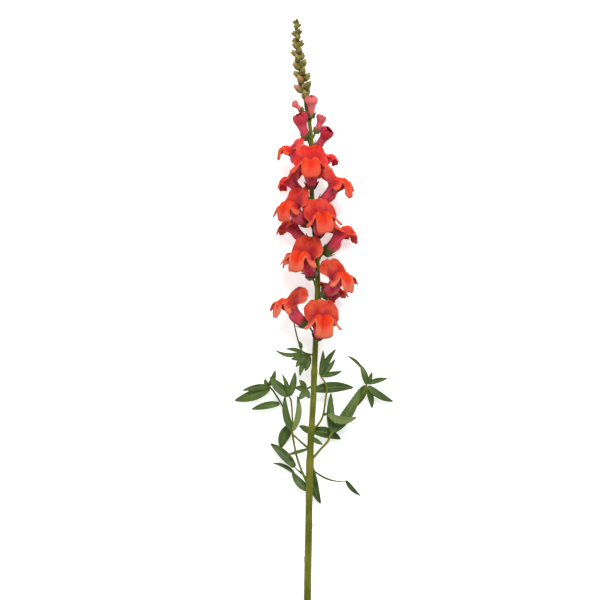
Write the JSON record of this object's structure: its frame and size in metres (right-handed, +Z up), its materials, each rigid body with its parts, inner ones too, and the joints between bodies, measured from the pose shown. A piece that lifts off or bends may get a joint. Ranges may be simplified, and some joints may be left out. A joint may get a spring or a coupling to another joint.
{
  "type": "cut snapdragon stem",
  "caption": "Cut snapdragon stem lying flat: slender stalk, leafy side shoots, a spike of two-lipped flowers and a tapering tip of closed buds.",
  "frame": {"origin": "centre of the part's box in plan, on the surface that it lies on", "axes": "+Y along the stem from its cut end to the tip of the spike, +X to the right of it seen from above, +Z up from the surface"},
  "size_m": [0.1605, 0.599, 0.074],
  "materials": {
    "stalk_green": "smooth, slightly waxy green stalk",
    "leaf_green": "matt dark green leaf, paler beneath",
    "calyx_green": "soft downy green",
    "spike_green": "olive green buds and bracts",
    "petal_orange": "velvety orange red petal, magenta outside the tube",
    "petal_pink": "velvety pink red petal"
  },
  "bodies": {
    "root": {"bud_spike": "spike_green", "calyx_bloom_01": "calyx_green", "calyx_bloom_02": "calyx_green", "calyx_bloom_03": "calyx_green", "calyx_bloom_04": "calyx_green", "calyx_bloom_05": "calyx_green", "calyx_bloom_06": "calyx_green", "calyx_bloom_07": "calyx_green", "calyx_bloom_08": "calyx_green", "calyx_bloom_09": "calyx_green", "calyx_bloom_10": "calyx_green", "calyx_bloom_11": "calyx_green", "calyx_bloom_12": "calyx_green", "calyx_bloom_13": "calyx_green", "calyx_bloom_14": "calyx_green", "calyx_bloom_15": "calyx_green", "calyx_bloom_16": "calyx_green", "calyx_bud_01": "calyx_green", "calyx_bud_02": "calyx_green", "calyx_bud_03": "calyx_green", "calyx_bud_04": "calyx_green", "calyx_bud_05": "calyx_green", "corolla_bloom_01": "petal_orange", "corolla_bloom_02": "petal_orange", "corolla_bloom_03": "petal_orange", "corolla_bloom_04": "petal_orange", "corolla_bloom_05": "petal_orange", "corolla_bloom_06": "petal_orange", "corolla_bloom_07": "petal_orange", "corolla_bloom_08": "petal_orange", "corolla_bloom_09": "petal_orange", "corolla_bloom_10": "petal_orange", "corolla_bloom_11": "petal_orange", "corolla_bloom_12": "petal_orange", "corolla_bloom_13": "petal_orange", "corolla_bloom_14": "petal_orange", "corolla_bloom_15": "petal_orange", "corolla_bloom_16": "petal_orange", "corolla_bud_01": "petal_pink", "corolla_bud_02": "petal_pink", "corolla_bud_03": "petal_pink", "corolla_bud_04": "petal_pink", "corolla_bud_05": "petal_pink", "leaf_behind_left": "leaf_green", "leaf_behind_right": "leaf_green", "leaf_lower_left": "leaf_green", "leaf_lower_right": "leaf_green", "leaf_pale_small": "leaf_green", "leaf_stalked_right": "leaf_green", "leaf_twisted": "leaf_green", "leaf_wide_right": "leaf_green", "main_stem": "stalk_green", "shoot_left_low": "leaf_green", "shoot_left_mid": "leaf_green", "shoot_middle": "leaf_green", "shoot_right": "leaf_green", "shoot_upper_left": "leaf_green", "tuft_middle": "leaf_green"}
  },
  "joints": []
}
